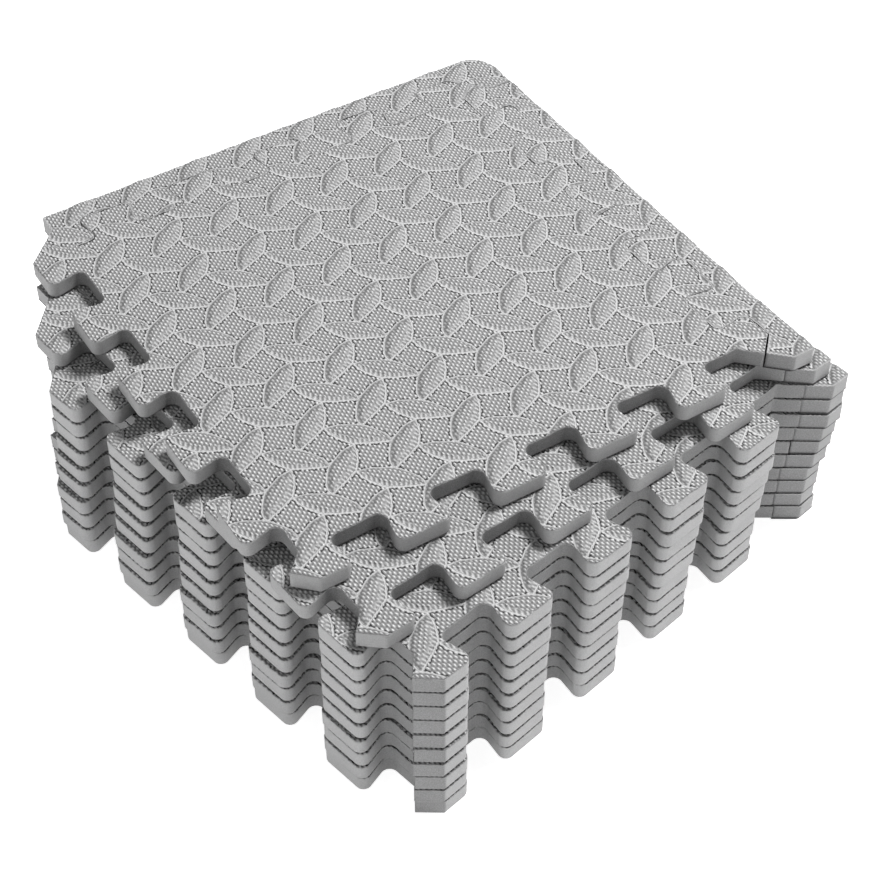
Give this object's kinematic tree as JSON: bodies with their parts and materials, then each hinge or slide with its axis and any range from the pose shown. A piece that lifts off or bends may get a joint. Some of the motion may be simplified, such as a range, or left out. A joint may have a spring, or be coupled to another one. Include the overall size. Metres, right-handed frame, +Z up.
{
  "type": "foam blocking mats",
  "caption": "Stack of square interlocking foam mats for blocking knitting, leaf-embossed on top, with toothed edges and straight-edged border strips.",
  "frame": {"origin": "middle of the footprint of the whole stack, on the surface it rests on", "axes": "+Z up through the stack; the tiles of the straight part of the stack have their edges along X and Y; open sockets face -X and -Y, border strips lie on the +X and +Y edges"},
  "size_m": [0.3986, 0.42, 0.1449],
  "materials": {
    "tile_foam": "light grey closed-cell EVA foam, matte; top face moulded with leaf shapes and a fine woven grain, cut edges smooth",
    "border_foam": "the same light grey EVA foam as the tiles, matte, leaf-embossed on top, cut edges smooth"
  },
  "bodies": {
    "layer_01": {"tile_01": "tile_foam", "border_back_01": "border_foam", "border_right_01": "border_foam"},
    "layer_02": {"tile_02": "tile_foam", "border_back_02": "border_foam", "border_right_02": "border_foam"},
    "layer_03": {"tile_03": "tile_foam", "border_back_03": "border_foam", "border_right_03": "border_foam"},
    "layer_04": {"tile_04": "tile_foam", "border_back_04": "border_foam", "border_right_04": "border_foam"},
    "layer_05": {"tile_05": "tile_foam", "border_back_05": "border_foam", "border_right_05": "border_foam"},
    "layer_06": {"tile_06": "tile_foam", "border_back_06": "border_foam", "border_right_06": "border_foam"},
    "layer_07": {"tile_07": "tile_foam", "border_back_07": "border_foam", "border_right_07": "border_foam"},
    "layer_08": {"tile_08": "tile_foam", "border_back_08": "border_foam", "border_right_08": "border_foam"},
    "layer_09": {"tile_09": "tile_foam", "border_back_09": "border_foam", "border_right_09": "border_foam"},
    "layer_10": {"tile_10": "tile_foam", "border_back_10": "border_foam", "border_right_10": "border_foam"},
    "layer_11": {"tile_11": "tile_foam", "border_back_11": "border_foam", "border_right_11": "border_foam"},
    "layer_12": {"tile_12": "tile_foam"},
    "top_back_strip": {"border_back_12": "border_foam"},
    "top_right_strip": {"border_right_12": "border_foam"}
  },
  "joints": [
    {"name": "tile_02_lift", "type": "slide", "parent": "layer_01", "child": "layer_02", "axis": [0, 0, 1], "range_m": [0, 0.03]},
    {"name": "tile_03_lift", "type": "slide", "parent": "layer_02", "child": "layer_03", "axis": [0, 0, 1], "range_m": [0, 0.03]},
    {"name": "tile_04_lift", "type": "slide", "parent": "layer_03", "child": "layer_04", "axis": [0, 0, 1], "range_m": [0, 0.03]},
    {"name": "tile_05_lift", "type": "slide", "parent": "layer_04", "child": "layer_05", "axis": [0, 0, 1], "range_m": [0, 0.03]},
    {"name": "tile_06_lift", "type": "slide", "parent": "layer_05", "child": "layer_06", "axis": [0, 0, 1], "range_m": [0, 0.03]},
    {"name": "tile_07_lift", "type": "slide", "parent": "layer_06", "child": "layer_07", "axis": [0, 0, 1], "range_m": [0, 0.03]},
    {"name": "tile_08_lift", "type": "slide", "parent": "layer_07", "child": "layer_08", "axis": [0, 0, 1], "range_m": [0, 0.03]},
    {"name": "tile_09_lift", "type": "slide", "parent": "layer_08", "child": "layer_09", "axis": [0, 0, 1], "range_m": [0, 0.03]},
    {"name": "tile_10_lift", "type": "slide", "parent": "layer_09", "child": "layer_10", "axis": [0, 0, 1], "range_m": [0, 0.03]},
    {"name": "tile_11_lift", "type": "slide", "parent": "layer_10", "child": "layer_11", "axis": [0, 0, 1], "range_m": [0, 0.03]},
    {"name": "tile_12_lift", "type": "slide", "parent": "layer_11", "child": "layer_12", "axis": [0, 0, 1], "range_m": [0, 0.03]},
    {"name": "back_strip_lift", "type": "slide", "parent": "layer_12", "child": "top_back_strip", "axis": [0, 0, 1], "range_m": [0, 0.03]},
    {"name": "right_strip_lift", "type": "slide", "parent": "layer_12", "child": "top_right_strip", "axis": [0, 0, 1], "range_m": [0, 0.03]}
  ]
}
